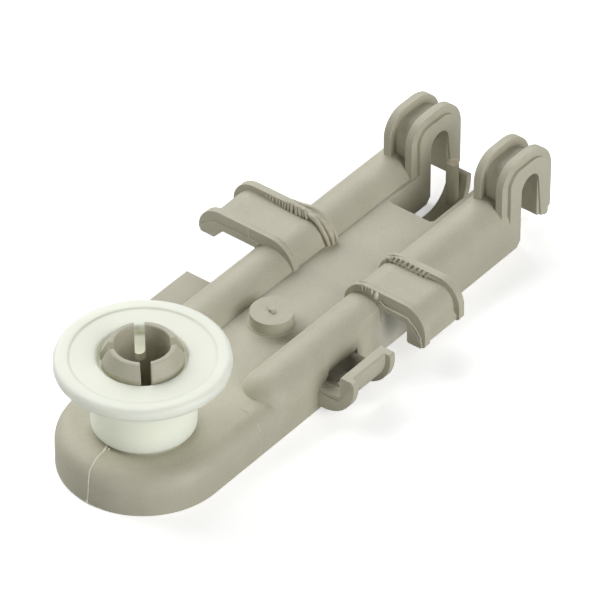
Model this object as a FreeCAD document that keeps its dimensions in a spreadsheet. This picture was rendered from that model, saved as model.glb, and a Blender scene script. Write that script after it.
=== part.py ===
import FreeCAD, Part
import Sketcher
import math
import os

os.makedirs("parts", exist_ok=True)
doc = FreeCAD.newDocument("RollerCarrier")
V = FreeCAD.Vector

# Driving dimensions in millimetres. X runs across, Y along the body away from the roller,
# Z up, with the roller axis on the Z axis and the underside rim at Z = 0.
SIZES = [
    ("body_radius", 18.2, "half width of the body and radius of its round end"),
    ("deck_height", 9.0, "top of the flat deck"),
    ("deck_length", 87.9, "roller axis to the far edge of the deck"),
    ("arm_end", 102.6, "roller axis to the ends of the arms"),
    ("arm_gap", 11.6, "gap between the two arms"),
    ("edge_round", 3.8, "rounding of the outer top edge of the deck"),
    ("deck_corner", 1.0, "inner corner rounding at the root of the arms"),
    ("arm_chamfer", 1.3, "chamfer at the foot of the arm ends"),
    ("skin", 2.0, "moulded wall thickness"),
    ("ridge_radius", 5.83, "half round ridge"),
    ("ridge_spring", 6.73, "height at which the half round starts"),
    ("ridge_start", 24.7, "roller axis to the centre of the rounded ridge nose"),
    ("rib", 1.5, "stiffening rib thickness"),
    ("rib_near", 23.5, "first cross rib"),
    ("rib_far", 52.5, "second cross rib"),
    ("button_foot", 0.35, "low ring around the button's foot"),
    ("button_foot_height", 0.2, "height of that ring"),
    ("button_at", 41.2, "roller axis to the button"),
    ("button_radius", 4.65, "button"),
    ("button_height", 3.0, "button above the deck"),
    ("gate_radius", 0.8, "gate mark"),
    ("gate_tip_radius", 0.65, "tip of the gate mark"),
    ("gate_height", 0.6, "gate mark above the button"),
    ("axle_radius", 7.85, "outside of the split axle"),
    ("axle_bore", 5.75, "inside radius of the split axle"),
    ("axle_tip_radius", 6.9, "outside of the finger tips"),
    ("axle_top", 29.9, "top of the fingers"),
    ("barb_radius", 8.5, "widest radius of the snap barbs"),
    ("barb_land", 1.9, "upright land of the barbs"),
    ("slot_width", 2.25, "slots between the fingers"),
    ("slot_bottom", 20.7, "lowest point of the slots"),
    ("seat_radius", 9.9, "seat ring under the roller"),
    ("seat_height", 0.8, "seat ring above the deck"),
    ("running_gap", 0.05, "radial clearance between axle and roller"),
    ("end_gap", 0.1, "axial clearance at each end of the roller"),
    ("roller_radius", 18.0, "roller flange"),
    ("flange_thickness", 2.55, "roller flange"),
    ("flange_edge", 1.0, "rounding of the flange edge"),
    ("flange_low_edge", 0.4, "rounding of the flange's lower edge"),
    ("flange_underside", 24.4, "height of the flange underside"),
    ("tread_radius", 10.85, "roller tread"),
    ("recess_radius", 9.1, "recess for the barbs in the flange"),
    ("recess_depth", 1.75, "recess for the barbs in the flange"),
    ("dish_radius", 15.0, "edge of the shallow dish in the flange"),
    ("dish_depth", 0.2, "shallow dish in the flange"),
    ("saddle_near", 56.4, "near edge of the strap clips"),
    ("saddle_length", 14.1, "length of the strap clips along the ridge"),
    ("saddle_inset", 0.4, "step from the end face of the straps to the edge flanges"),
    ("saddle_step", 12.2, "top of the stepped end face of the straps"),
    ("saddle_flange", 1.7, "thickness of the edge flanges"),
    ("saddle_flange_rise", 1.4, "height of the edge flanges above the straps"),
    ("saddle_foot", 7.2, "inner face of the straps from the centre line"),
    ("saddle_foot_rise", 0.6, "edge flanges beyond the inner face of the straps"),
    ("saddle_inner_round", 5.0, "inner shoulder of the straps"),
    ("saddle_outer_round", 4.2, "outer shoulder of the straps"),
    ("saddle_top", 13.4, "top of the straps"),
    ("saddle_under", 10.8, "underside of the straps"),
    ("saddle_lip", 3.0, "thickness of the down turned lip"),
    ("right_reach", 26.4, "outer face of the right lip from the centre line"),
    ("right_lip_foot", 5.8, "foot of the right lip"),
    ("left_reach", 30.8, "outer face of the left lip from the centre line"),
    ("left_lip_foot", 8.2, "foot of the left lip"),
    ("left_lip_ramp", 2.4, "ramp inside the left lip"),
    ("channel_depth", 1.2, "depth of the flat relief for a wire at the foot of the right flank"),
    ("channel_draft", 4.0, "lean of the flat relief in degrees"),
    ("scoop_radius", 3.0, "round edge that rolls under the ridge beside the J clip"),
    ("scoop_angle", 30.0, "where that edge leaves the ridge, in degrees over its spring line"),
    ("scoop_depth", 2.0, "depth of the scoop in the right flank under the rolled edge"),
    ("scoop_ramp", 2.6, "length over which the scoop comes in"),
    ("channel_near", 53.6, "near end of the flat relief above the J clip"),
    ("hook_setback", 4.1, "left face of the hooks from the left face of their arms"),
    ("hook_near", 98.8, "near face of the hook bands"),
    ("hook_top", 20.3, "top of the hook bands"),
    ("hook_slot", 6.1, "width of the hook slots"),
    ("hook_slot_top", 16.8, "top of the hook slots"),
    ("hook_leg", 3.6, "thickness of the hook legs"),
    ("leg_step_width", 1.6, "step beside the slot on the right face of the hook's leg"),
    ("leg_step_depth", 0.4, "depth of that step"),
    ("leg_step_top", 13.9, "height where that step runs out"),
    ("hook_foot", 4.1, "foot of the hook legs beside the slot"),
    ("hook_toe", 2.6, "lowest point of the hook legs"),
    ("hook_near_round", 3.4, "near shoulder of the hook bands"),
    ("hook_far_round", 6.0, "far shoulder of the hook bands"),
    ("hook_flange", 1.7, "thickness of the hook flanges"),
    ("hook_flange_rise", 2.0, "height of the hook flanges above the band"),
    ("hook_flange_setback", 0.5, "flanges set back from the slot"),
    ("hook_flange_reach", 1.8, "hook flanges beyond the legs"),
    ("hook_flange_foot", 3.2, "foot of the hook flanges"),
    ("hook_flange_pitch", 5.8, "pitch of the two hook flanges"),
    ("clip_near", 33.4, "near end of the J clip and the tab"),
    ("clip_length", 13.7, "length of the J clip and the tab"),
    ("clip_reach", 26.3, "outer face of the J clip from the centre line"),
    ("clip_wall", 2.6, "thickness of the upright of the J clip"),
    ("clip_under", 2.5, "underside of the J clip"),
    ("clip_round", 7.0, "outer lower corner of the J clip"),
    ("clip_floor", 5.8, "floor of the J clip"),
    ("clip_top", 11.2, "top of the J clip"),
    ("clip_face_depth", 0.35, "step of the J clip's near face inside its flange"),
    ("clip_face_rim", 1.0, "width of the flange around that step"),
    ("clip_floor_land", 0.6, "floor left inside the near flange before the window"),
    ("clip_flange", 1.6, "thickness of the end flanges of the J clip"),
    ("clip_flange_rise", 1.2, "height of the end flanges of the J clip"),
    ("tab_reach", 27.7, "outer edge of the tab from the centre line"),
    ("tab_top", 5.0, "top of the tab"),
    ("tab_thickness", 3.0, "thickness of the tab"),
    ("tongue_width", 5.2, "width of the latch tongue"),
    ("tongue_thickness", 1.6, "thickness of the latch tongue"),
    ("tongue_bend", 8.6, "outer bend radius of the latch tongue"),
    ("tongue_face", 105.7, "far face of the latch tongue"),
    ("tongue_top", 10.1, "top of the latch tongue"),
    ("post_radius", 1.4, "latch post"),
    ("post_at", 102.5, "roller axis to the latch post"),
    ("post_top", 13.4, "top of the latch post"),
    ("post_bore", 0.85, "hollow in the latch post"),
]

sheet = doc.addObject("Spreadsheet::Sheet", "Sizes")
for row, (alias, value, note) in enumerate(SIZES, start=1):
    sheet.set("A%d" % row, alias)
    sheet.set("B%d" % row, str(value))
    sheet.set("C%d" % row, note)
    sheet.setAlias("B%d" % row, alias)
doc.recompute()


def size(alias):
    return float(sheet.get(alias))


def rounded_wire(points):
    """Edges of a closed outline. Each point is (x, y) or (x, y, corner radius)."""
    count = len(points)
    starts = []
    ends = []
    arcs = []
    for i, point in enumerate(points):
        here = V(point[0], point[1], 0)
        radius = point[2] if len(point) > 2 else 0.0
        before = V(points[i - 1][0], points[i - 1][1], 0)
        after = V(points[(i + 1) % count][0], points[(i + 1) % count][1], 0)
        if radius <= 0.0:
            starts.append(here)
            ends.append(here)
            arcs.append(None)
            continue
        to_before = (before - here).normalize()
        to_after = (after - here).normalize()
        half = to_before.getAngle(to_after) / 2.0
        setback = radius / math.tan(half)
        inward = (to_before + to_after).normalize()
        centre = here + inward * (radius / math.sin(half))
        starts.append(here + to_before * setback)
        ends.append(here + to_after * setback)
        arcs.append(centre - inward * radius)
    edges = []
    for i in range(count):
        if arcs[i] is not None:
            edges.append(Part.Arc(starts[i], arcs[i], ends[i]))
        following = starts[(i + 1) % count]
        if (following - ends[i]).Length > 1e-6:
            edges.append(Part.LineSegment(ends[i], following))
    return edges


def new_sketch(body, name, plane, offset=None):
    """Empty sketch on an origin plane of the body, moved along that plane's normal."""
    sketch = body.newObject("Sketcher::SketchObject", name)
    for feature in body.Origin.OriginFeatures:
        if feature.Role == plane:
            sketch.AttachmentSupport = (feature, [""])
    sketch.MapMode = "FlatFace"
    if offset:
        sketch.setExpression("AttachmentOffset.Base.z", offset)
    return sketch


def add_outline(sketch, points):
    for edge in rounded_wire(points):
        sketch.addGeometry(edge, False)


def add_circle(sketch, x, y, radius_alias):
    index = sketch.addGeometry(Part.Circle(V(x, y, 0), V(0, 0, 1), size(radius_alias)), False)
    row = sketch.addConstraint(Sketcher.Constraint("Radius", index, size(radius_alias)))
    sketch.setExpression("Constraints[%d]" % row, "Sizes." + radius_alias)


def pad(body, sketch, length, name, reverse=False):
    feature = body.newObject("PartDesign::Pad", name)
    feature.Profile = sketch
    feature.setExpression("Length", length)
    feature.Reversed = reverse
    return feature


def pocket(body, sketch, length, name, reverse=False, both=False):
    feature = body.newObject("PartDesign::Pocket", name)
    feature.Profile = sketch
    feature.setExpression("Length", length)
    feature.Reversed = reverse
    feature.Midplane = both
    return feature


def revolve(body, sketch, name):
    feature = body.newObject("PartDesign::Revolution", name)
    feature.Profile = sketch
    feature.ReferenceAxis = (sketch, ["V_Axis"])
    feature.Angle = 360.0
    return feature


def extrude_along_y(body, name, start, length, outlines, cut=False):
    """Pad or pocket of XZ outlines from Y = start over the given length."""
    sketch = new_sketch(body, name + "_outline", "XZ_Plane", "-(%s)" % start)
    for points in outlines:
        add_outline(sketch, points)
    if cut:
        return pocket(body, sketch, length, name)
    return pad(body, sketch, length, name, reverse=True)


def extrude_along_x(body, name, start, length, outlines):
    sketch = new_sketch(body, name + "_outline", "YZ_Plane", start)
    for points in outlines:
        add_outline(sketch, points)
    return pad(body, sketch, length, name)


carrier = doc.addObject("PartDesign::Body", "RollerCarrierBody")
carrier.Label = "roller_carrier"

# Latch post and tongue between the arms.
bend_y = size("tongue_face") - size("tongue_bend")
bend_z = size("tongue_bend")
leaf = size("tongue_thickness")
sketch = new_sketch(carrier, "latch_post_outline", "XY_Plane", "Sizes.tongue_thickness")
add_circle(sketch, 0, size("post_at"), "post_radius")
pad(carrier, sketch, "Sizes.post_top - Sizes.tongue_thickness", "latch_post")
sketch = new_sketch(carrier, "latch_post_trim_outline", "YZ_Plane")
trim_start = V(bend_y, 0, 0)
trim_end = V(bend_y + bend_z, bend_z, 0)
trim_mid = V(bend_y + bend_z * math.sin(math.pi / 4), bend_z - bend_z * math.cos(math.pi / 4), 0)
sketch.addGeometry(Part.Arc(trim_start, trim_mid, trim_end), False)
trim_corner = V(bend_y + bend_z, 0, 0)
sketch.addGeometry(Part.LineSegment(trim_end, trim_corner), False)
sketch.addGeometry(Part.LineSegment(trim_corner, trim_start), False)
pocket(carrier, sketch, "4 * Sizes.post_radius", "latch_post_trim", both=True)
tongue_root = size("deck_length") - size("skin") / 2
extrude_along_x(
    carrier, "latch_tongue", "-Sizes.tongue_width / 2", "Sizes.tongue_width",
    [[(tongue_root, 0), (size("tongue_face"), 0, size("tongue_bend")),
      (size("tongue_face"), size("tongue_top"), leaf / 3),
      (size("tongue_face") - leaf, size("tongue_top"), leaf / 3),
      (size("tongue_face") - leaf, leaf, size("tongue_bend") - leaf),
      (tongue_root, leaf)]])

# Body: a round ended tray with two arms.
R = size("body_radius")
gap = size("arm_gap") / 2
corner = size("deck_corner")
sketch = new_sketch(carrier, "body_outline", "XY_Plane")
sketch.addGeometry(Part.Arc(V(R, 0, 0), V(0, -R, 0), V(-R, 0, 0)), False)
outline = rounded_wire([(-R, 0), (-R, size("arm_end")), (-gap, size("arm_end")),
                        (-gap, size("deck_length"), corner), (gap, size("deck_length"), corner),
                        (gap, size("arm_end")), (R, size("arm_end")), (R, 0)])
for edge in outline[:-1]:
    sketch.addGeometry(edge, False)
body_pad = pad(carrier, sketch, "Sizes.deck_height", "body")
doc.recompute()


def edges_where(feature, test):
    return ["Edge%d" % (i + 1) for i, edge in enumerate(feature.Shape.Edges) if test(edge)]


def is_outer_top_edge(edge):
    middle = edge.valueAt((edge.FirstParameter + edge.LastParameter) / 2)
    on_top = abs(middle.z - size("deck_height")) < 1e-3
    straight = abs(abs(middle.x) - R) < 1e-3
    round_end = middle.y < 0 and abs(math.hypot(middle.x, middle.y) - R) < 1e-3
    return on_top and (straight or round_end)


rounding = carrier.newObject("PartDesign::Fillet", "outer_edge_round")
rounding.Base = (body_pad, edges_where(body_pad, is_outer_top_edge))
rounding.setExpression("Radius", "Sizes.edge_round")
doc.recompute()


def is_arm_foot_edge(edge):
    middle = edge.valueAt((edge.FirstParameter + edge.LastParameter) / 2)
    return abs(middle.z) < 1e-3 and abs(middle.y - size("arm_end")) < 1e-3


foot = carrier.newObject("PartDesign::Chamfer", "arm_foot_chamfer")
foot.Base = (rounding, edges_where(rounding, is_arm_foot_edge))
foot.setExpression("Size", "Sizes.arm_chamfer")

# Half round ridges with rounded noses.
rr = size("ridge_radius")
rz = size("ridge_spring")
ridge_x = R - rr


def arch(centre, radius, foot_z):
    """Upright outline with a half round top."""
    spring = rz
    return [Part.Arc(V(centre + radius, spring, 0), V(centre, spring + radius, 0),
                     V(centre - radius, spring, 0)),
            Part.LineSegment(V(centre - radius, spring, 0), V(centre - radius, foot_z, 0)),
            Part.LineSegment(V(centre - radius, foot_z, 0), V(centre + radius, foot_z, 0)),
            Part.LineSegment(V(centre + radius, foot_z, 0), V(centre + radius, spring, 0))]


ridge_foot = size("arm_chamfer")
sketch = new_sketch(carrier, "ridges_outline", "XZ_Plane", "-Sizes.ridge_start")
for side in (-1, 1):
    for edge in arch(side * ridge_x, rr, ridge_foot):
        sketch.addGeometry(edge, False)
pad(carrier, sketch, "Sizes.arm_end - Sizes.ridge_start", "ridges", reverse=True)
for side, name in ((-1, "left_ridge_nose"), (1, "right_ridge_nose")):
    sketch = new_sketch(carrier, name + "_outline", "XZ_Plane", "-Sizes.ridge_start")
    sketch.setExpression("AttachmentOffset.Base.x",
                         "%d * (Sizes.body_radius - Sizes.ridge_radius)" % side)
    sketch.addGeometry(Part.Arc(V(rr, rz, 0), V(rr * math.sin(math.pi / 4),
                       rz + rr * math.cos(math.pi / 4), 0), V(0, rz + rr, 0)), False)
    sketch.addGeometry(Part.LineSegment(V(0, rz + rr, 0), V(0, ridge_foot, 0)), False)
    sketch.addGeometry(Part.LineSegment(V(0, ridge_foot, 0), V(rr, ridge_foot, 0)), False)
    sketch.addGeometry(Part.LineSegment(V(rr, ridge_foot, 0), V(rr, rz, 0)), False)
    revolve(carrier, sketch, name)

# Button with its gate mark.
sketch = new_sketch(carrier, "button_outline", "XY_Plane", "Sizes.deck_height - Sizes.skin / 2")
add_circle(sketch, 0, size("button_at"), "button_radius")
pad(carrier, sketch, "Sizes.button_height + Sizes.skin / 2", "button")
sketch = new_sketch(carrier, "button_foot_outline", "XY_Plane",
                    "Sizes.deck_height - Sizes.skin / 2")
sketch.addGeometry(Part.Circle(V(0, size("button_at"), 0), V(0, 0, 1),
                               size("button_radius") + size("button_foot")), False)
pad(carrier, sketch, "Sizes.skin / 2 + Sizes.button_foot_height", "button_foot")
gate_foot = size("deck_height") + size("button_height")
gate_top = gate_foot + size("gate_height")
sketch = new_sketch(carrier, "gate_mark_outline", "XZ_Plane", "-Sizes.button_at")
add_outline(sketch, [(0, gate_foot - size("gate_height")),
                     (size("gate_radius"), gate_foot - size("gate_height")),
                     (size("gate_radius"), gate_foot),
                     (size("gate_tip_radius"), gate_top),
                     (0, gate_top)])
revolve(carrier, sketch, "gate_mark")

# Room for a wire along the right flank: a scoop beside the J clip, then a flat relief that
# ends under the strap clip.
lean = math.tan(math.radians(size("channel_draft")))
channel = R - size("channel_depth")
scoop_flank = R - size("scoop_depth")
clip_far = size("clip_near") + size("clip_length")
roll = size("scoop_radius")
roll_angle = math.radians(size("scoop_angle"))
roll_reach = rr - roll - 0.08
roll_x = ridge_x + roll_reach * math.cos(roll_angle)
roll_z = rz + roll_reach * math.sin(roll_angle)
under_angle = -math.radians(40)
along = 1.6
outside = R + 2.0


def roll_point(angle):
    return V(roll_x + roll * math.cos(angle), roll_z + roll * math.sin(angle), 0)


def scoop(sketch):
    """Cross section of the scoop: a tangent line, the rolled edge, and the flank below it."""
    top = roll_point(roll_angle)
    start = top + V(-along * math.sin(roll_angle), along * math.cos(roll_angle), 0)
    low = roll_point(under_angle)
    run = (low.x - scoop_flank) / math.sin(-under_angle)
    inner = V(scoop_flank, low.y - run * math.cos(under_angle), 0)
    corners = [inner, V(inner.x, -1.0, 0), V(outside, -1.0, 0), V(outside, start.y, 0), start]
    sketch.addGeometry(Part.LineSegment(start, top), False)
    sketch.addGeometry(Part.Arc(top, roll_point((roll_angle + under_angle) / 2), low), False)
    sketch.addGeometry(Part.LineSegment(low, inner), False)
    for first, second in zip(corners, corners[1:]):
        sketch.addGeometry(Part.LineSegment(first, second), False)


scoop_near = "(Sizes.clip_near + Sizes.clip_flange + Sizes.scoop_ramp)"
sketch = new_sketch(carrier, "wire_scoop_outline", "XZ_Plane", "-" + scoop_near)
scoop(sketch)
pocket(carrier, sketch, "Sizes.clip_near + Sizes.clip_length - " + scoop_near, "wire_scoop")
sketch = new_sketch(carrier, "scoop_ramp_outline", "XZ_Plane", "-" + scoop_near)
scoop(sketch)
ramp = pocket(carrier, sketch, "Sizes.scoop_ramp", "scoop_ramp")
ramp.UseCustomVector = True
ramp.Direction = V(size("scoop_depth") + 0.1, -size("scoop_ramp"), 0)
relief_far = size("saddle_near") + size("saddle_length") - size("saddle_inset") \
    - size("saddle_flange")
sag = R - channel
sweep = ((size("channel_near") - clip_far) ** 2 + sag ** 2) / (2 * sag)


def relief_face(y):
    """The relief's face in plan: straight, then curving out to the flank at its near end."""
    return channel + sweep - math.sqrt(sweep ** 2 - (size("channel_near") - y) ** 2)


relief_near = clip_far - 2.0
curve = [V(relief_face(y), y, 0)
         for y in (size("channel_near"), (size("channel_near") + relief_near) / 2, relief_near)]
corners = [curve[2], V(outside, relief_near, 0), V(outside, relief_far, 0),
           V(channel, relief_far, 0), curve[0]]
sketch = new_sketch(carrier, "wire_relief_outline", "XY_Plane")
sketch.addGeometry(Part.Arc(*curve), False)
for first, second in zip(corners, corners[1:]):
    sketch.addGeometry(Part.LineSegment(first, second), False)
relief = pocket(carrier, sketch, "Sizes.saddle_top", "wire_relief")
relief.UseCustomVector = True
relief.Direction = V(-lean, 0, 1)

# Strap clips over the ridges: a full length core with a stepped end face, the strap, and a
# flange along each edge.
under = size("saddle_under")
buried = size("ridge_spring") + 1.0
strap_inner = ridge_x + rr * 0.6
flange_rise = size("saddle_flange_rise")
foot_rise = size("saddle_foot_rise")


def strap(side, reach, lip_foot, ramp, grow, foot_grow):
    """Outline of a strap clip; the last two widen it for the edge flanges."""
    top = size("saddle_top") + grow
    lip_inner = reach - size("saddle_lip")
    points = [(size("saddle_foot") - foot_grow, buried),
              (size("saddle_foot") - foot_grow, top, size("saddle_inner_round") + grow),
              (reach + grow, top, size("saddle_outer_round") + grow),
              (reach + grow, lip_foot, 0.8),
              (lip_inner, lip_foot, 0.5),
              (lip_inner - ramp, under, 0.8),
              (strap_inner, under),
              (strap_inner, buried)]
    return [(side * p[0],) + tuple(p[1:]) for p in points]


def strap_core(side, reach, lip_foot, ramp):
    """Outline of the stepped end face, from the ridge to the foot of the lip."""
    step = size("saddle_step")
    lip_inner = reach - size("saddle_lip")
    outer = reach + flange_rise / 2
    points = [(strap_inner, buried),
              (strap_inner, step),
              (lip_inner, step, 0.6),
              (outer, lip_foot + flange_rise),
              (outer, lip_foot, 0.4),
              (lip_inner, lip_foot, 0.5),
              (lip_inner - ramp, under, 0.8),
              (strap_inner + 1.0, under),
              (strap_inner + 1.0, buried)]
    return [(side * p[0],) + tuple(p[1:]) for p in points]


straps = [(1, size("right_reach"), size("right_lip_foot"), 0.0),
          (-1, size("left_reach"), size("left_lip_foot"), size("left_lip_ramp"))]
extrude_along_y(carrier, "strap_cores", "Sizes.saddle_near", "Sizes.saddle_length",
                [strap_core(*values) for values in straps])
extrude_along_y(carrier, "straps", "Sizes.saddle_near + Sizes.saddle_inset",
                "Sizes.saddle_length - 2 * Sizes.saddle_inset",
                [strap(*values, 0.0, 0.0) for values in straps])
extrude_along_y(carrier, "strap_near_flanges", "Sizes.saddle_near + Sizes.saddle_inset",
                "Sizes.saddle_flange",
                [strap(*values, flange_rise, foot_rise) for values in straps])
extrude_along_y(carrier, "strap_far_flanges",
                "Sizes.saddle_near + Sizes.saddle_length - Sizes.saddle_inset - Sizes.saddle_flange",
                "Sizes.saddle_flange",
                [strap(*values, flange_rise, foot_rise) for values in straps])

# Hooks at the arm ends.
slot_near = size("arm_end")
slot_far = slot_near + size("hook_slot")
leg_far = slot_far + size("hook_leg")
half_wire = size("hook_slot") / 2
hook_root = size("ridge_spring") + 1.0


def hook_outline(grow, reach, inner_foot, outer_foot, cover):
    """Inverted U in the YZ plane; grow, reach and cover change it for the flanges."""
    return [(size("hook_near") - grow, hook_root),
            (size("hook_near") - grow, size("hook_top") + grow, size("hook_near_round") + grow),
            (leg_far + reach, size("hook_top") + grow, size("hook_far_round") + grow),
            (leg_far + reach, outer_foot, 0.6),
            (slot_far + cover, inner_foot, 0.3),
            (slot_far + cover, size("hook_slot_top") + cover, half_wire + cover),
            (slot_near - cover, size("hook_slot_top") + cover, half_wire + cover),
            (slot_near - cover, hook_root)]


hook_band = hook_outline(0.0, 0.0, size("hook_foot"), size("hook_toe"), 0.0)
hook_rim = hook_outline(size("hook_flange_rise"), size("hook_flange_reach"),
                        size("hook_foot") + size("hook_flange_setback"),
                        size("hook_flange_foot"), size("hook_flange_setback"))


hook_width = "(Sizes.body_radius - Sizes.arm_gap / 2 - Sizes.hook_setback)"
for name, arm_face in (("left_hook", "-Sizes.body_radius"), ("right_hook", "Sizes.arm_gap / 2")):
    left_face = arm_face + " + Sizes.hook_setback"
    extrude_along_x(carrier, name, left_face, hook_width, [hook_band])
    for label, shift in (("first", "0"), ("second", "Sizes.hook_flange_pitch")):
        start = "%s + %s" % (left_face, shift)
        extrude_along_x(carrier, name + "_" + label + "_flange", start, "Sizes.hook_flange",
                        [hook_rim])
    sketch = new_sketch(carrier, name + "_leg_step_outline", "YZ_Plane",
                        left_face + " + " + hook_width)
    add_outline(sketch, [(slot_far - 0.5, size("leg_step_top")), (slot_far - 0.5, -1.0),
                         (slot_far + size("leg_step_width"), -1.0),
                         (slot_far, size("leg_step_top"))])
    pocket(carrier, sketch, "Sizes.leg_step_depth", name + "_leg_step")

# J clip on the right and tab on the left.
clip_root = channel - size("skin") / 2
clip_x = size("clip_reach")
clip_in = clip_x - size("clip_wall")


def clip_outline(grow):
    return [(clip_root, size("clip_under") - grow),
            (clip_x + grow, size("clip_under") - grow, size("clip_round") + grow),
            (clip_x + grow, size("clip_top"), 0.6),
            (clip_in, size("clip_top"), 0.4),
            (clip_in, size("clip_floor"), 0.6),
            (clip_root, size("clip_floor"))]


extrude_along_y(carrier, "j_clip", "Sizes.clip_near", "Sizes.clip_length", [clip_outline(0.0)])
rise = size("clip_flange_rise")
extrude_along_y(carrier, "j_clip_near_flange", "Sizes.clip_near", "Sizes.clip_flange",
                [clip_outline(rise)])
extrude_along_y(carrier, "j_clip_far_flange",
                "Sizes.clip_near + Sizes.clip_length - Sizes.clip_flange", "Sizes.clip_flange",
                [clip_outline(rise)])
face_top = size("clip_top") + 1.0
rim = size("clip_face_rim")
extrude_along_y(carrier, "j_clip_face", "Sizes.clip_near", "Sizes.clip_face_depth",
                [[(R, face_top), (R, size("clip_floor") - rim),
                  (clip_in, size("clip_floor") - rim, rim),
                  (clip_x + rim / 2, size("clip_top") - rim),
                  (clip_x + rim / 2, face_top)]], cut=True)
window_near = size("clip_near") + size("clip_flange") + size("clip_floor_land")
window_far = clip_far - size("clip_flange")
window_round = size("clip_floor") - size("clip_under")
over = size("clip_floor") + 0.25
window_side = roll_point(under_angle).x - 0.25
sketch = new_sketch(carrier, "j_clip_window_outline", "YZ_Plane", "%.3f" % window_side)
add_outline(sketch, [(window_near, over), (window_near, size("clip_floor")),
                     (window_near + window_round + 0.1, size("clip_floor"), window_round),
                     (window_near + window_round + 0.1, -1.0),
                     (window_far, -1.0), (window_far, over)])
pocket(carrier, sketch, "Sizes.clip_reach - Sizes.clip_wall - %.3f" % window_side,
       "j_clip_window", reverse=True)
tab_under = size("tab_top") - size("tab_thickness")
extrude_along_y(carrier, "tab", "Sizes.clip_near", "Sizes.clip_length",
                [[(-clip_root, tab_under), (-size("tab_reach"), tab_under, 0.3),
                  (-size("tab_reach"), size("tab_top"), 0.3), (-clip_root, size("tab_top"))]])

# Split snap axle.
axle = size("axle_radius")
shoulder = size("flange_underside") + size("flange_thickness") - size("recess_depth") \
    + size("end_gap")
barb_top = shoulder + size("barb_land")
seat_top = size("deck_height") + size("seat_height")
sketch = new_sketch(carrier, "axle_outline", "XZ_Plane")
add_outline(sketch, [(size("axle_bore"), 0), (axle, 0), (axle, size("deck_height") / 2),
                     (size("seat_radius"), size("deck_height") / 2),
                     (size("seat_radius"), seat_top, 0.3), (axle, seat_top),
                     (axle, shoulder), (size("barb_radius"), shoulder, 0.2),
                     (size("barb_radius"), barb_top, 0.5),
                     (size("axle_tip_radius"), size("axle_top"), 0.5),
                     (size("axle_bore"), size("axle_top"), 0.3)])
revolve(carrier, sketch, "axle")

# Hollow underside.
s = size("skin")
inner_r = rr - s
deck_under = size("deck_height") - s
bay_wall = channel - lean * rz - s
bay_r = (bay_wall - ridge_x + inner_r) / 2
bay_x = bay_wall - bay_r
meet = math.sqrt(bay_r ** 2 - (deck_under - rz) ** 2)


def bay(sketch):
    """Cross section of the hollow under the deck and inside both ridges."""
    low = -1.0
    points = {}
    for side in (-1, 1):
        points[side] = [V(side * bay_wall, rz, 0),
                        V(side * bay_x, rz + bay_r, 0),
                        V(side * (bay_x - meet), deck_under, 0)]
        sketch.addGeometry(Part.Arc(*points[side]), False)
        sketch.addGeometry(Part.LineSegment(V(side * bay_wall, low, 0), points[side][0]), False)
    sketch.addGeometry(Part.LineSegment(points[-1][2], points[1][2]), False)
    sketch.addGeometry(Part.LineSegment(V(-bay_wall, low, 0), V(bay_wall, low, 0)), False)


bays = [("middle_bay", "Sizes.rib_near + Sizes.rib", "Sizes.rib_far - Sizes.rib_near - Sizes.rib"),
        ("far_bay", "Sizes.rib_far + Sizes.rib",
         "Sizes.deck_length - Sizes.skin - Sizes.rib_far - Sizes.rib")]
for name, start, length in bays:
    sketch = new_sketch(carrier, name + "_outline", "XZ_Plane", "-(%s)" % start)
    bay(sketch)
    pocket(carrier, sketch, length, name)
sketch = new_sketch(carrier, "arm_bays_outline", "XZ_Plane", "-Sizes.deck_length")
for side in (-1, 1):
    for edge in arch(side * ridge_x, inner_r, -1.0):
        sketch.addGeometry(edge, False)
pocket(carrier, sketch, "Sizes.arm_end - Sizes.skin - Sizes.deck_length", "arm_bays")
sketch = new_sketch(carrier, "near_bay_outline", "XY_Plane")
sketch.addGeometry(Part.Arc(V(R - s, 0, 0), V(0, s - R, 0), V(s - R, 0, 0)), False)
sketch.addGeometry(Part.LineSegment(V(s - R, 0, 0), V(s - R, size("rib_near"), 0)), False)
sketch.addGeometry(Part.LineSegment(V(s - R, size("rib_near"), 0),
                                    V(R - s, size("rib_near"), 0)), False)
sketch.addGeometry(Part.LineSegment(V(R - s, size("rib_near"), 0), V(R - s, 0, 0)), False)
add_circle(sketch, 0, 0, "axle_radius")
pocket(carrier, sketch, "Sizes.deck_height - Sizes.skin", "near_bay", reverse=True)
sketch = new_sketch(carrier, "axle_bore_outline", "XY_Plane")
add_circle(sketch, 0, 0, "axle_bore")
pocket(carrier, sketch, "Sizes.deck_height", "axle_bore_hole", reverse=True)

# Slots that split the axle into four fingers.
sketch = new_sketch(carrier, "axle_slot_outline", "XZ_Plane")
sketch.AttachmentOffset = FreeCAD.Placement(V(0, 0, 0), FreeCAD.Rotation(V(0, 1, 0), 45))
half_slot = size("slot_width") / 2
slot_top = size("axle_top") + 1.0
low = size("slot_bottom") + half_slot
sketch.addGeometry(Part.Arc(V(-half_slot, low, 0), V(0, size("slot_bottom"), 0),
                            V(half_slot, low, 0)), False)
sketch.addGeometry(Part.LineSegment(V(half_slot, low, 0), V(half_slot, slot_top, 0)), False)
sketch.addGeometry(Part.LineSegment(V(half_slot, slot_top, 0), V(-half_slot, slot_top, 0)), False)
sketch.addGeometry(Part.LineSegment(V(-half_slot, slot_top, 0), V(-half_slot, low, 0)), False)
slot = pocket(carrier, sketch, "4 * Sizes.barb_radius", "axle_slot", both=True)
doc.recompute()
slots = carrier.newObject("PartDesign::PolarPattern", "axle_slots")
slots.Originals = [slot]
slots.Axis = (sketch, ["V_Axis"])
slots.Angle = 90.0
slots.Occurrences = 2
carrier.Tip = slots
sketch = new_sketch(carrier, "post_hollow_outline", "XY_Plane", "Sizes.post_top")
add_circle(sketch, 0, size("post_at"), "post_bore")
pocket(carrier, sketch, "2.5 * Sizes.post_radius", "post_hollow")

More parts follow.
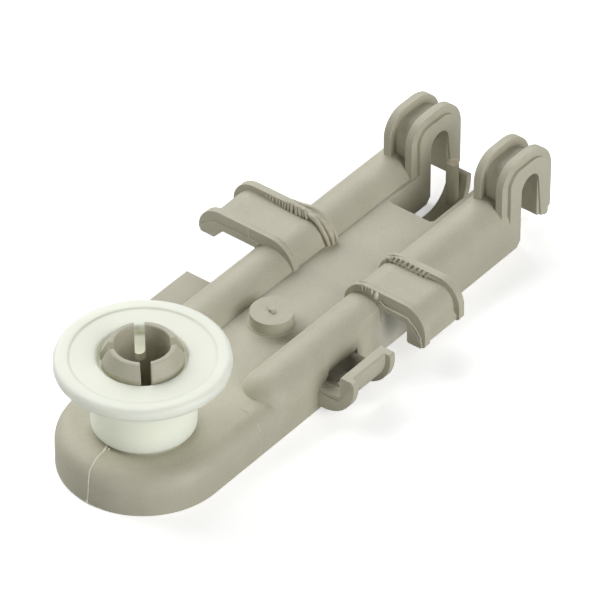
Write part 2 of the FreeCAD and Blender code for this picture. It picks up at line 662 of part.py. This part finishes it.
# Roller: tread, flange and stepped bore.
roller = doc.addObject("PartDesign::Body", "RollerBody")
roller.Label = "roller"
bore = axle + size("running_gap")
bottom = seat_top + size("end_gap")
flange_low = size("flange_underside")
flange_top = flange_low + size("flange_thickness")
recess = size("recess_radius")
sketch = new_sketch(roller, "roller_outline", "XZ_Plane")
edge_round = size("flange_edge")
add_outline(sketch, [(bore, bottom, 0.3), (size("tread_radius"), bottom, 0.5),
                     (size("tread_radius"), flange_low, 0.6),
                     (size("roller_radius"), flange_low, size("flange_low_edge")),
                     (size("roller_radius"), flange_top, edge_round),
                     (size("dish_radius"), flange_top, 0.4),
                     (size("dish_radius") - size("dish_depth"), flange_top - size("dish_depth"), 0.4),
                     (recess + 0.4, flange_top - size("dish_depth"), 0.3),
                     (recess, flange_top - size("dish_depth") - 0.4),
                     (recess, flange_top - size("recess_depth")),
                     (bore, flange_top - size("recess_depth"))])
revolve(roller, sketch, "roller_form")

# The frame's origin is the middle of the underside of the whole part.
right_side = "max(Sizes.right_reach + Sizes.saddle_flange_rise; " \
    "Sizes.clip_reach + Sizes.clip_flange_rise)"
left_side = "(Sizes.left_reach + Sizes.saddle_flange_rise)"
far_side = "(Sizes.arm_end + Sizes.hook_slot + Sizes.hook_leg + Sizes.hook_flange_reach)"
for body in (carrier, roller):
    body.setExpression("Placement.Base.x", "(%s - %s) / 2" % (left_side, right_side))
    body.setExpression("Placement.Base.y", "(Sizes.body_radius - %s) / 2" % far_side)
doc.recompute()

for obj in doc.Objects:
    if "Invalid" in obj.State or "Error" in obj.State:
        raise RuntimeError("feature failed: %s %s" % (obj.Name, obj.State))
for body in (carrier, roller):
    if body.Shape.isNull() or not body.Shape.isValid() or len(body.Shape.Solids) != 1:
        raise RuntimeError("bad shape: " + body.Label)
    body.Shape.exportStep("parts/%s.step" % body.Label)
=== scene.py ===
import math
import random

import bpy
from mathutils import Matrix, Vector


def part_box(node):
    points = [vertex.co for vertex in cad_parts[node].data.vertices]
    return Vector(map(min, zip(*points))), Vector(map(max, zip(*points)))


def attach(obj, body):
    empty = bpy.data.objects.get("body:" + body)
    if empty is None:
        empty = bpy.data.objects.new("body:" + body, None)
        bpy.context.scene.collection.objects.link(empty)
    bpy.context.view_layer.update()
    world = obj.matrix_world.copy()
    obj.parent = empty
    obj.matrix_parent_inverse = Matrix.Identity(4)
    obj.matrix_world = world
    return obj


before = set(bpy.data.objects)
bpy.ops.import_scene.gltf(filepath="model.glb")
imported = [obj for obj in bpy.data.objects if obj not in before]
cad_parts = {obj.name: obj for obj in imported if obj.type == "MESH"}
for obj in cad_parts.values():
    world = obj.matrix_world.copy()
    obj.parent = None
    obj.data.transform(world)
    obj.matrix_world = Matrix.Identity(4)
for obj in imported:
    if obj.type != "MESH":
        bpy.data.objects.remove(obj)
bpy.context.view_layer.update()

MM = 0.001

# Where the photograph was taken from. The target is a point on the body's middle line.
VIEW_TURN = math.radians(38.48)
VIEW_RISE = math.radians(39.09)
VIEW_DISTANCE = 1.1928
VIEW_SHIFT = (0.312 * MM, 0.944 * MM)
VIEW_LENS = 345.65
VIEW_SENSOR = 36.0
VIEW_NEAR = 0.05
VIEW_FAR = 20.0
TARGET_FROM_AXLE = Vector((0.0, 50.0, 8.0)) * MM

CARRIER_COLOUR = (0.535, 0.512, 0.405, 1.0)
CARRIER_SHADE = (0.475, 0.452, 0.35, 1.0)
CARRIER_SPECK = (0.6, 0.58, 0.475, 1.0)
# Paler colour on sharp edges: a painted highlight.
CARRIER_EDGE_HIGHLIGHT = (0.64, 0.605, 0.495, 1.0)
FLASH_COLOUR = (0.575, 0.54, 0.43, 1.0)
FLASH_SHADE = (0.52, 0.485, 0.38, 1.0)
WIRE_COLOUR = (0.84, 0.8, 0.69, 1.0)
WIRE_SHADE = (0.74, 0.7, 0.59, 1.0)
ROLLER_COLOUR = (0.87, 0.912, 0.775, 1.0)
ROLLER_SHADE = (0.855, 0.898, 0.76, 1.0)
# Colour of the painted glow in the roller's bore and on its tread.
ROLLER_GLOW = (0.9, 0.92, 0.81, 1.0)
# The post's top: its own browner tone, made much paler as painted light where it lies in the left
# hook's shade.
POST_LIGHTENED_COLOUR = (0.82, 0.73, 0.54, 1.0)
POST_LIGHTENED_SHADE = (0.72, 0.64, 0.47, 1.0)
# Painted shade for the hollow beside the J clip.
HOLLOW_PAINTED_SHADE = (0.13, 0.115, 0.085, 1.0)
# Painted light for the side under the right strap, which lies in the strap's shadow.
SHELTER_PAINTED_LIGHT = (0.84, 0.83, 0.73, 1.0)
FLOOR_COLOUR = (1.0, 1.0, 1.0, 1.0)
FLOOR_BOUNCE = (0.64, 0.64, 0.63, 1.0)

# Noise patterns: cells a metre, detail and roughness.
CARRIER_GRAIN = (3400.0, 2.0, 0.6)
CARRIER_CLOUD = (90.0, 4.0, 0.6)
FLASH_CLOUD = (900.0, 2.0, 0.5)
ROLLER_CLOUD = (140.0, 3.0, 0.5)

# The part of each pattern, or of the cosine at an edge, that goes from one colour to the other.
GRAIN_BAND = (0.45, 0.75)
GRAIN_SHARE = 0.6
CLOUD_BAND = (0.3, 0.7)
FLASH_BAND = (0.35, 0.65)
EDGE_BAND = (0.985, 0.85)

CARRIER_ROUGHNESS = 0.55
CARRIER_IOR = 1.49
GRAIN_BUMP = 0.3
GRAIN_HEIGHT = 0.05 * MM
FLASH_ROUGHNESS = 0.45
ROLLER_ROUGHNESS = 0.42
ROLLER_SCATTER = 0.85
ROLLER_SCATTER_RADIUS = (1.0, 1.0, 0.9)
ROLLER_SCATTER_SCALE = 4.0 * MM

FLOOR_HALF = 4.0
FLOOR_GLOW = 0.45

# The studio's light: a weak even sky and soft square lamps, each with its bearing from +X and
# its height over the horizon in degrees, its side in metres and its power in watts.
SKY_LEVEL = 0.015
LAMP_DISTANCE = 1.5
LAMPS = (
    ("lamp_right_low", 0.0, 12.0, 0.8, 7.1),
    ("lamp_right", 0.0, 35.0, 1.0, 10.0),
    ("lamp_back", 135.0, 35.0, 1.0, 10.7),
    ("lamp_left", 180.0, 35.0, 1.0, 14.2),
    ("lamp_front_low", -90.0, 12.0, 0.8, 4.3),
)

# Flash that the mould left, in millimetres from the axle's foot. Each strand has a radius and
# the points of its middle line. A fourth value of a point scales the radius there.
PARTING_LINE = (
    (0.12, ((-1.1, -10.6, 9.0), (-0.9, -11.5, 9.0), (-0.7, -13.7, 9.0), (-0.2, -15.6, 8.8),
            (0.0, -17.05, 7.9), (0.4, -17.9, 6.7), (0.5, -18.2, 5.2), (0.3, -18.2, 2.6),
            (0.0, -18.2, 0.3))),
    (0.24, ((-1.2, -10.3, 9.1), (-1.0, -10.9, 9.1), (-0.9, -11.7, 9.0))),
    (0.26, ((-0.4, -10.6, 9.1), (-0.3, -10.8, 9.1))),
    (0.26, ((-0.1, -18.2, 0.5), (0.0, -18.2, 0.3))),
)
BASE_LINE_RADIUS = 0.1
BASE_LINE_CENTRE = (0.0, 0.0, 0.15)
BASE_LINE_REACH = 18.17
BASE_LINE_TURNS = range(-150, -70, 8)
SIDE_LINE = (
    (0.05, ((11.1, 15.7, 9.0), (14.9, 15.5, 8.95), (17.6, 15.1, 7.25), (18.2, 14.9, 4.2),
            (18.2, 15.0, 0.6))),
)
LEFT_FAR_BAND = (
    (0.56, ((-12.6, 68.8, 14.4, 0.5), (-11.4, 68.5, 14.3), (-10.2, 68.4, 14.1),
            (-8.9, 68.3, 13.1), (-7.8, 68.3, 11.7), (-7.0, 68.3, 10.4), (-6.5, 68.3, 9.2, 0.8))),
    (0.52, ((-12.2, 69.2, 14.4, 0.5), (-10.6, 69.2, 14.2), (-8.9, 69.2, 13.6),
            (-7.7, 69.2, 12.6), (-6.8, 69.2, 11.3), (-6.2, 69.2, 10.2), (-6.0, 69.2, 9.1, 0.7))),
    (0.46, ((-12.2, 69.9, 14.5), (-10.4, 69.9, 14.2), (-8.9, 69.9, 13.4), (-7.6, 69.9, 12.2),
            (-6.6, 69.8, 10.6))),
    (0.46, ((-19.5, 69.9, 14.5, 0.5), (-17.5, 70.0, 14.5, 0.8), (-15.3, 70.1, 14.6),
            (-13.4, 70.25, 14.85), (-11.8, 70.3, 14.9), (-10.4, 70.4, 14.5),
            (-9.2, 70.4, 13.8), (-8.0, 70.35, 12.8), (-7.0, 70.35, 11.7), (-6.2, 70.3, 10.6),
            (-5.8, 70.2, 9.3, 0.8))),
)
RIGHT_FAR_BAND = (
    (0.42, ((8.5, 68.3, 12.3, 0.7), (9.2, 68.25, 13.5), (10.1, 68.2, 13.6), (11.4, 68.2, 13.6),
            (13.6, 68.15, 13.85), (14.5, 68.1, 13.6), (15.8, 68.15, 13.6), (17.9, 68.3, 13.75),
            (20.1, 68.4, 13.8, 0.7), (22.5, 68.5, 13.8, 0.4))),
    (0.5, ((8.9, 69.3, 13.3, 0.6), (10.2, 69.3, 14.1), (11.8, 69.3, 14.4), (13.9, 69.3, 14.4),
           (16.4, 69.3, 14.4, 0.9), (18.8, 69.3, 14.4, 0.75), (21.4, 69.3, 14.4, 0.6),
           (24.0, 69.3, 13.9, 0.5))),
)
FLANGE_RIMS = (
    (0.12, ((9.6, 58.0, 13.9), (10.8, 58.0, 14.45), (12.2, 58.0, 14.7), (14.6, 57.95, 14.75),
            (16.8, 58.0, 14.75), (18.7, 58.0, 14.75), (20.5, 57.95, 14.75), (22.9, 58.0, 14.7),
            (24.7, 58.0, 14.1), (26.2, 58.0, 12.6), (27.1, 58.0, 9.9))),
    (0.12, ((-22.6, 58.0, 14.75), (-18.8, 58.0, 14.75), (-15.3, 58.0, 14.75),
            (-12.2, 58.0, 14.7), (-10.7, 58.05, 14.35), (-9.6, 58.05, 13.75),
            (-8.4, 58.05, 12.75), (-7.3, 58.05, 11.2), (-6.8, 58.0, 9.8))),
    (0.26, ((-10.9, 58.05, 14.4), (-10.2, 58.1, 14.1))),
    (0.24, ((-8.2, 58.05, 12.6), (-7.8, 58.05, 12.1))),
)
STRAP_WIRES = (
    (0.12, ((16.2, 56.5, 12.9), (16.9, 56.5, 12.6), (17.7, 56.4, 12.25), (18.9, 56.4, 12.2),
            (20.9, 56.4, 12.15), (23.2, 56.4, 12.1), (24.3, 56.5, 11.4), (25.4, 56.6, 10.4),
            (26.2, 56.6, 9.3), (27.0, 56.6, 8.1))),
    (0.42, ((15.2, 56.6, 13.3), (15.3, 56.55, 13.9), (15.35, 56.6, 14.4))),
    (0.25, ((14.0, 56.7, 13.7), (14.0, 56.7, 14.5))),
    (0.06, ((-18.9, 56.8, 14.7), (-18.8, 56.8, 13.4), (-18.7, 56.7, 12.4))),
)

# Ribs of crumpled flash inside the edge flanges: radius, place across and height at the foot,
# and the same two at the top. The foot and the top of each row have their own places along.
LEFT_RIB_ROW = (67.95, 68.65)
LEFT_RIBS = (
    (0.1, -22.9, 14.0, -23.3, 14.5), (0.12, -22.0, 14.0, -22.3, 14.5),
    (0.14, -21.2, 13.9, -21.6, 14.5), (0.15, -20.1, 13.9, -20.6, 14.5),
    (0.2, -19.3, 13.7, -19.8, 14.6), (0.24, -18.5, 13.6, -18.9, 14.7),
    (0.28, -17.9, 13.5, -18.0, 14.7), (0.32, -17.0, 13.5, -17.3, 14.8),
    (0.38, -16.0, 13.4, -16.5, 14.8), (0.42, -14.7, 13.5, -15.3, 14.8),
    (0.36, -13.7, 13.7, -14.5, 14.8), (0.3, -12.9, 13.7, -13.6, 14.9),
    (0.34, -12.1, 13.8, -12.9, 14.9),
)
RIGHT_NEAR_ROW = (56.6, 56.75)
RIGHT_NEAR_RIBS = (
    (0.17, 8.8, 12.2, 8.8, 13.3), (0.17, 9.3, 12.5, 9.3, 13.7), (0.17, 9.8, 12.8, 9.8, 14.1),
    (0.18, 10.35, 13.1, 10.35, 14.3), (0.18, 10.9, 13.3, 10.9, 14.5),
    (0.25, 11.6, 13.5, 11.5, 14.7), (0.18, 12.4, 13.6, 12.4, 14.6),
    (0.13, 13.1, 13.8, 13.1, 14.6),
)
RIGHT_FAR_ROW = (67.95, 68.4)
RIGHT_FAR_RIBS = (
    (0.3, 10.1, 13.4, 10.5, 14.3), (0.31, 11.1, 13.5, 11.6, 14.5),
    (0.32, 12.1, 13.6, 12.7, 14.6), (0.34, 13.2, 13.5, 13.9, 14.6),
    (0.34, 14.4, 13.4, 15.2, 14.6), (0.34, 15.6, 13.4, 16.5, 14.6),
    (0.32, 16.8, 13.4, 17.7, 14.6), (0.28, 18.0, 13.5, 18.8, 14.6),
    (0.2, 19.2, 13.6, 19.9, 14.5),
)

# The closed top of the latch post with its raised rim, and the lip at the J clip's window with a
# strand along the body's foot below it: both are there to hide the floor seen through the window, so
# that the place reads as shade.
POST_RIM_RADIUS = 0.17
POST_RIM_CENTRE = (0.05, 102.5, 13.45)
POST_RIM_REACH = 1.12
POST_RIM_TURNS = range(-60, 270, 30)
POST_TOP = (
    (1.15, ((-0.05, 102.45, 13.1), (0.12, 102.6, 13.3))),
)
WINDOW_LIP_AND_SHADE_STRAND = (
    (0.42, ((18.3, 35.85, 5.5), (21.0, 35.9, 5.5), (23.6, 35.85, 5.5))),
    (0.4, ((16.4, 41.2, 0.45), (16.45, 43.0, 0.45), (16.4, 45.0, 0.45))),
)

# Rings that close the end of a strand: how far out in radii, and how thick.
ROUND_END = ((0.9, 0.35), (0.6, 0.75), (0.25, 0.95))
STRAND_SIDES = 8
STRAND_TWIST = Vector((0.31, 0.53, 0.79))

# Rings between two points of a strand: their gap in radii, and the fewest and the most.
RING_GAP = 0.8
RINGS_FEWEST = 2
RINGS_MOST = 12

# How far a rib bends out at its middle, in radii.
RIB_BEND = 0.4

roller_low, roller_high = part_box("roller")
AXLE = Vector(((roller_low.x + roller_high.x) / 2, (roller_low.y + roller_high.y) / 2, 0.0))


def place(x, y, z):
    """A point given in millimetres from the foot of the axle, in the row frame."""
    return AXLE + Vector((x, y, z)) * MM


# Edges look a little rounded, and the near edge of the hollow under the right strap much more.
BEVEL_SAMPLES = 8
EDGE_SOFT = 0.16 * MM
CREASE = place(17.4, 48.5, 7.0)
CREASE_SIZE = Vector((8.0, 8.0, 8.0)) * MM
CREASE_SOFT = 2.2 * MM
ROLLER_SOFT = 1.0 * MM

# Painted shade darkens the hollow beside the J clip and painted light makes the side under
# the right strap pale; the bore and the tread of the roller have a painted glow in place of light
# that comes through its wall. Each spreads over an ellipsoid, fully up to a share of its size.
NEAR_CORE = 0.35
HOLLOW = place(16.6, 42.0, 4.4)
HOLLOW_SHADE_SIZE = Vector((4.2, 8.5, 7.0)) * MM
HOLLOW_SHADE_SHARE = 0.9
SHELTER = place(16.6, 60.0, 5.0)
SHELTER_LIGHT_SIZE = Vector((2.0, 6.5, 9.0)) * MM
SHELTER_LIGHT_SHARE = 0.9
BORE = place(0.0, 0.0, 18.0)
BORE_SIZE = Vector((10.2, 10.2, 30.0)) * MM
BORE_GLOW = 1.7
TREAD = place(0.0, 0.0, 14.0)
TREAD_SIZE = Vector((17.0, 17.0, 13.0)) * MM
TREAD_GLOW = 0.1


def view_axes():
    """Right, up and forward directions of the photograph's view."""
    level = math.cos(VIEW_RISE)
    forward = Vector((-math.sin(VIEW_TURN) * level, math.cos(VIEW_TURN) * level, -math.sin(VIEW_RISE)))
    right = Vector((math.cos(VIEW_TURN), math.sin(VIEW_TURN), 0.0))
    return right, right.cross(forward), forward


def add_camera():
    """The photograph's camera."""
    right, up, forward = view_axes()
    camera = bpy.data.objects.new("camera", bpy.data.cameras.new("camera"))
    camera.data.lens = VIEW_LENS
    camera.data.sensor_width = VIEW_SENSOR
    camera.data.clip_start = VIEW_NEAR
    camera.data.clip_end = VIEW_FAR
    shift = right * VIEW_SHIFT[0] + up * VIEW_SHIFT[1]
    spot = AXLE + TARGET_FROM_AXLE - forward * VIEW_DISTANCE + shift
    turn = Matrix((right, up, -forward)).transposed()
    camera.matrix_world = Matrix.Translation(spot) @ turn.to_4x4()
    bpy.context.scene.collection.objects.link(camera)
    bpy.context.scene.camera = camera


def add_lamp(name, bearing, height, side, power):
    """A soft square lamp that faces the part."""
    bearing = math.radians(bearing)
    height = math.radians(height)
    level = math.cos(height)
    away = Vector((math.cos(bearing) * level, math.sin(bearing) * level, math.sin(height)))
    data = bpy.data.lights.new(name, "AREA")
    data.shape = "SQUARE"
    data.size = side
    data.energy = power
    lamp = bpy.data.objects.new(name, data)
    lamp.location = away * LAMP_DISTANCE
    lamp.rotation_euler = (-away).to_track_quat("-Z", "Y").to_euler()
    bpy.context.scene.collection.objects.link(lamp)


class Nodes:
    """A material's node tree, with short calls to add and join nodes."""

    def __init__(self, name):
        self.material = bpy.data.materials.new(name)
        self.material.use_nodes = True
        self.tree = self.material.node_tree
        self.shader = self.tree.nodes["Principled BSDF"]

    def add(self, kind, **values):
        """A new node, with values for its properties and its sockets."""
        node = self.tree.nodes.new(kind)
        for key, value in values.items():
            if key in node.bl_rna.properties:
                setattr(node, key, value)
            else:
                node.inputs[key].default_value = value
        return node

    def join(self, source, target):
        """A link between two sockets."""
        self.tree.links.new(source, target)

    def ramp(self, value, low, high, top=1.0):
        """The value brought from the range low to high to the range 0 to top."""
        node = self.add("ShaderNodeMapRange")
        node.inputs["From Min"].default_value = low
        node.inputs["From Max"].default_value = high
        node.inputs["To Max"].default_value = top
        self.join(value, node.inputs["Value"])
        return node.outputs["Result"]

    def blend(self, factor, first, second):
        """A mix of two colours, each a fixed one or another node's result."""
        node = self.add("ShaderNodeMix", data_type="RGBA")
        self.join(factor, node.inputs["Factor"])
        for socket, colour in (("A", first), ("B", second)):
            if isinstance(colour, tuple):
                node.inputs[socket].default_value = colour
            else:
                self.join(colour, node.inputs[socket])
        return node.outputs["Result"]

    def noise(self, spot, scale, detail, roughness):
        """A noise pattern fixed to the object."""
        node = self.add("ShaderNodeTexNoise", Scale=scale, Detail=detail, Roughness=roughness)
        self.join(spot.outputs["Object"], node.inputs["Vector"])
        return node.outputs["Fac"]

    def near(self, spot, centre, size, inside, outside):
        """A value that goes from one at a point to another outside an ellipsoid round it."""
        gap = self.add("ShaderNodeVectorMath", operation="SUBTRACT")
        self.join(spot.outputs["Object"], gap.inputs[0])
        gap.inputs[1].default_value = centre
        share = self.add("ShaderNodeVectorMath", operation="DIVIDE")
        self.join(gap.outputs["Vector"], share.inputs[0])
        share.inputs[1].default_value = size
        length = self.add("ShaderNodeVectorMath", operation="LENGTH")
        self.join(share.outputs["Vector"], length.inputs[0])
        node = self.add("ShaderNodeMapRange", interpolation_type="SMOOTHSTEP")
        node.inputs["From Min"].default_value = NEAR_CORE
        node.inputs["To Min"].default_value = inside
        node.inputs["To Max"].default_value = outside
        self.join(length.outputs["Value"], node.inputs["Value"])
        return node.outputs["Result"]

    def edge(self, soft):
        """1 on sharp edges and 0 on the faces between them."""
        flat = self.add("ShaderNodeNewGeometry")
        dot = self.add("ShaderNodeVectorMath", operation="DOT_PRODUCT")
        self.join(soft.outputs["Normal"], dot.inputs[0])
        self.join(flat.outputs["Normal"], dot.inputs[1])
        return self.ramp(dot.outputs["Value"], *EDGE_BAND)


def carrier_material():
    """Beige-grey moulded plastic: fine speckled grain, faint flow clouds, edges paler as a painted
    highlight, and painted shade and light by the J clip and under the right strap.
    """
    n = Nodes("carrier_plastic")
    spot = n.add("ShaderNodeTexCoord")
    grain = n.noise(spot, *CARRIER_GRAIN)
    cloud = n.noise(spot, *CARRIER_CLOUD)
    soft = n.add("ShaderNodeBevel", samples=BEVEL_SAMPLES)
    n.join(n.near(spot, CREASE, CREASE_SIZE, CREASE_SOFT, EDGE_SOFT), soft.inputs["Radius"])
    tone = n.blend(n.ramp(cloud, *CLOUD_BAND), CARRIER_SHADE, CARRIER_COLOUR)
    tone = n.blend(n.ramp(grain, *GRAIN_BAND, GRAIN_SHARE), tone, CARRIER_SPECK)
    # Painted highlight: sharp edges are paler.
    tone = n.blend(n.edge(soft), tone, CARRIER_EDGE_HIGHLIGHT)
    # Painted shade: the hollow beside the J clip is darkened.
    tone = n.blend(n.near(spot, HOLLOW, HOLLOW_SHADE_SIZE, HOLLOW_SHADE_SHARE, 0.0), tone, HOLLOW_PAINTED_SHADE)
    # Painted light: the side under the right strap, in the strap's shadow, is made pale.
    tone = n.blend(n.near(spot, SHELTER, SHELTER_LIGHT_SIZE, SHELTER_LIGHT_SHARE, 0.0), tone, SHELTER_PAINTED_LIGHT)
    n.join(tone, n.shader.inputs["Base Color"])
    bump = n.add("ShaderNodeBump", Strength=GRAIN_BUMP, Distance=GRAIN_HEIGHT)
    n.join(grain, bump.inputs["Height"])
    n.join(soft.outputs["Normal"], bump.inputs["Normal"])
    n.join(bump.outputs["Normal"], n.shader.inputs["Normal"])
    n.shader.inputs["Roughness"].default_value = CARRIER_ROUGHNESS
    n.shader.inputs["IOR"].default_value = CARRIER_IOR
    return n.material


def flash_material(name, shade, colour):
    """The same plastic where it is too thin to be grained: a little paler and shinier."""
    n = Nodes(name)
    cloud = n.noise(n.add("ShaderNodeTexCoord"), *FLASH_CLOUD)
    n.join(n.blend(n.ramp(cloud, *FLASH_BAND), shade, colour), n.shader.inputs["Base Color"])
    n.shader.inputs["Roughness"].default_value = FLASH_ROUGHNESS
    return n.material


def roller_material():
    """Milky white plastic that lets light through, with a painted glow in its bore and on its tread.
    """
    n = Nodes("roller_plastic")
    spot = n.add("ShaderNodeTexCoord")
    cloud = n.noise(spot, *ROLLER_CLOUD)
    n.join(n.blend(cloud, ROLLER_SHADE, ROLLER_COLOUR), n.shader.inputs["Base Color"])
    soft = n.add("ShaderNodeBevel", samples=BEVEL_SAMPLES, Radius=ROLLER_SOFT)
    n.join(soft.outputs["Normal"], n.shader.inputs["Normal"])
    n.shader.inputs["Roughness"].default_value = ROLLER_ROUGHNESS
    # Painted glow in the bore and on the tread, in place of light that comes through the wall.
    glow = n.add("ShaderNodeMath", operation="ADD")
    n.join(n.near(spot, BORE, BORE_SIZE, BORE_GLOW, 0.0), glow.inputs[0])
    n.join(n.near(spot, TREAD, TREAD_SIZE, TREAD_GLOW, 0.0), glow.inputs[1])
    n.join(glow.outputs["Value"], n.shader.inputs["Emission Strength"])
    n.shader.inputs["Emission Color"].default_value = ROLLER_GLOW
    n.shader.inputs["Subsurface Weight"].default_value = ROLLER_SCATTER
    n.shader.inputs["Subsurface Radius"].default_value = ROLLER_SCATTER_RADIUS
    n.shader.inputs["Subsurface Scale"].default_value = ROLLER_SCATTER_SCALE
    return n.material


def smooth_line(points, pieces):
    """Points along a Catmull-Rom curve through the given ones."""
    ends = [points[0] * 2 - points[1]] + points + [points[-1] * 2 - points[-2]]
    line = []
    for a, b, c, d in zip(ends, ends[1:], ends[2:], ends[3:]):
        for step in range(pieces):
            t = step / pieces
            line.append((b * 2 + (c - a) * t + (a * 2 - b * 5 + c * 4 - d) * t ** 2
                         + (b * 3 - a - c * 3 + d) * t ** 3) / 2)
    return line + [points[-1]]


def strand_rings(points, radius, waver, dice):
    """Middle, direction and radius of each ring of a strand whose radius wavers."""
    knots = [Vector(p if len(p) == 4 else p + (1.0,)) for p in points]
    gap = sum((b - a).length for a, b in zip(knots, knots[1:])) / (len(knots) - 1)
    steps = max(RINGS_FEWEST, min(RINGS_MOST, round(gap / (RING_GAP * radius))))
    line = smooth_line(knots, steps)
    spots = [place(*knot.xyz) for knot in line]
    ways = [(b - a).normalized() for a, b in zip(spots[:1] + spots, spots[1:] + spots[-1:])]
    sizes = [knot.w * radius * MM * (1.0 + waver * dice.uniform(-1.0, 1.0)) for knot in line]
    start = [(spots[0] - ways[0] * sizes[0] * out, ways[0], sizes[0] * share)
             for out, share in ROUND_END]
    end = [(spots[-1] + ways[-1] * sizes[-1] * out, ways[-1], sizes[-1] * share)
           for out, share in ROUND_END]
    return start + list(zip(spots, ways, sizes)) + end[::-1]


def add_strand(corners, faces, rings):
    """A tube through the rings, closed at both ends."""
    first = len(corners)
    for spot, way, size in rings:
        side = way.cross(STRAND_TWIST).normalized()
        rise = way.cross(side)
        for corner in range(STRAND_SIDES):
            turn = 2 * math.pi * corner / STRAND_SIDES
            corners.append(spot + (side * math.cos(turn) + rise * math.sin(turn)) * size)
    for base in range(first, len(corners) - STRAND_SIDES, STRAND_SIDES):
        for corner in range(STRAND_SIDES):
            near = base + corner
            far = base + (corner + 1) % STRAND_SIDES
            faces.append((near, far, far + STRAND_SIDES, near + STRAND_SIDES))
    faces.append(tuple(range(first + STRAND_SIDES - 1, first - 1, -1)))
    faces.append(tuple(range(len(corners) - STRAND_SIDES, len(corners))))


def add_flash(name, strands, waver, material):
    """One piece of flash, made of strands, on the carrier."""
    dice = random.Random(name)
    corners = []
    faces = []
    for radius, points in strands:
        add_strand(corners, faces, strand_rings(points, radius, waver, dice))
    mesh = bpy.data.meshes.new(name)
    mesh.from_pydata(corners, [], faces)
    mesh.materials.append(material)
    for face in mesh.polygons:
        face.use_smooth = True
    piece = bpy.data.objects.new(name, mesh)
    bpy.context.scene.collection.objects.link(piece)
    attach(piece, "carrier")


def rib_strands(row, ribs):
    """Strands for a row of ribs, each bent out a little at its middle."""
    foot, top = row
    strands = []
    for radius, x0, z0, x1, z1 in ribs:
        middle = ((x0 + x1) / 2, (foot + top) / 2 - RIB_BEND * radius, (z0 + z1) / 2)
        strands.append((radius, ((x0, foot, z0), middle, (x1, top, z1))))
    return strands


def arc_strand(radius, centre, reach, turns):
    """A strand along an arc, through one point at each of the turns in degrees."""
    x, y, z = centre
    angles = [math.radians(turn) for turn in turns]
    return radius, tuple((x + reach * math.cos(angle), y + reach * math.sin(angle), z)
                         for angle in angles)


def dress(node, material):
    """Give a carried-over part its finish."""
    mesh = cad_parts[node].data
    if not mesh.materials:
        mesh.materials.append(material)
    for index in range(len(mesh.materials)):
        mesh.materials[index] = material


def add_floor():
    """White paper that looks a little brighter than the light it sends back."""
    low, high = -FLOOR_HALF, FLOOR_HALF
    corners = [(low, low, 0), (high, low, 0), (high, high, 0), (low, high, 0)]
    mesh = bpy.data.meshes.new("floor")
    mesh.from_pydata(corners, [], [(0, 1, 2, 3)])
    floor = bpy.data.objects.new("floor", mesh)
    bpy.context.scene.collection.objects.link(floor)
    n = Nodes("floor_paper")
    seen = n.add("ShaderNodeLightPath").outputs["Is Camera Ray"]
    n.join(n.blend(seen, FLOOR_BOUNCE, FLOOR_COLOUR), n.shader.inputs["Base Color"])
    n.join(n.ramp(seen, 0.0, 1.0, FLOOR_GLOW), n.shader.inputs["Emission Strength"])
    n.shader.inputs["Emission Color"].default_value = FLOOR_COLOUR
    n.shader.inputs["Roughness"].default_value = 1.0
    n.shader.inputs["Specular IOR Level"].default_value = 0.0
    mesh.materials.append(n.material)


def add_sky():
    """A weak even light from all sides, and plain white behind the part."""
    world = bpy.data.worlds.new("studio")
    world.use_nodes = True
    tree = world.node_tree
    dim = tree.nodes["Background"]
    plain = tree.nodes.new("ShaderNodeBackground")
    for background, level in ((dim, SKY_LEVEL), (plain, 1.0)):
        background.inputs["Color"].default_value = (1.0, 1.0, 1.0, 1.0)
        background.inputs["Strength"].default_value = level
    seen = tree.nodes.new("ShaderNodeLightPath")
    mix = tree.nodes.new("ShaderNodeMixShader")
    tree.links.new(seen.outputs["Is Camera Ray"], mix.inputs[0])
    tree.links.new(dim.outputs[0], mix.inputs[1])
    tree.links.new(plain.outputs[0], mix.inputs[2])
    tree.links.new(mix.outputs[0], tree.nodes["World Output"].inputs["Surface"])
    bpy.context.scene.world = world


bpy.context.scene.view_settings.view_transform = "Standard"
add_camera()
add_sky()
for lamp in LAMPS:
    add_lamp(*lamp)
add_floor()
dress("roller_carrier", carrier_material())
dress("roller", roller_material())

# The post's top is painted light: its colour is made paler where it lies in shade.
post = flash_material("post_top", POST_LIGHTENED_SHADE, POST_LIGHTENED_COLOUR)
flash = flash_material("carrier_flash", FLASH_SHADE, FLASH_COLOUR)
wire = flash_material("carrier_flash_edge", WIRE_SHADE, WIRE_COLOUR)
base_line = arc_strand(BASE_LINE_RADIUS, BASE_LINE_CENTRE, BASE_LINE_REACH, BASE_LINE_TURNS)
post_rim = arc_strand(POST_RIM_RADIUS, POST_RIM_CENTRE, POST_RIM_REACH, POST_RIM_TURNS)

# Each piece of flash: its name, its strands, how much their radius wavers, and its finish.
for piece in (
        ("parting_line", PARTING_LINE, 0.15, wire),
        ("base_line", [base_line], 0.3, wire),
        ("side_line", SIDE_LINE, 0.1, wire),
        ("left_far_band", LEFT_FAR_BAND, 0.08, flash),
        ("right_far_band", RIGHT_FAR_BAND, 0.06, flash),
        ("flange_rims", FLANGE_RIMS, 0.3, flash),
        ("strap_wires", STRAP_WIRES, 0.15, wire),
        ("left_ribs", rib_strands(LEFT_RIB_ROW, LEFT_RIBS), 0.06, flash),
        ("right_near_ribs", rib_strands(RIGHT_NEAR_ROW, RIGHT_NEAR_RIBS), 0.06, flash),
        # The window lip and the foot strand stand in for shade: they hide the floor seen through the
        # window.
        ("window_lip", WINDOW_LIP_AND_SHADE_STRAND, 0.05, flash),
        ("post_top", POST_TOP, 0.05, post),
        ("post_rim", [post_rim], 0.1, wire),
        ("right_far_ribs", rib_strands(RIGHT_FAR_ROW, RIGHT_FAR_RIBS), 0.06, flash)):
    add_flash(*piece)
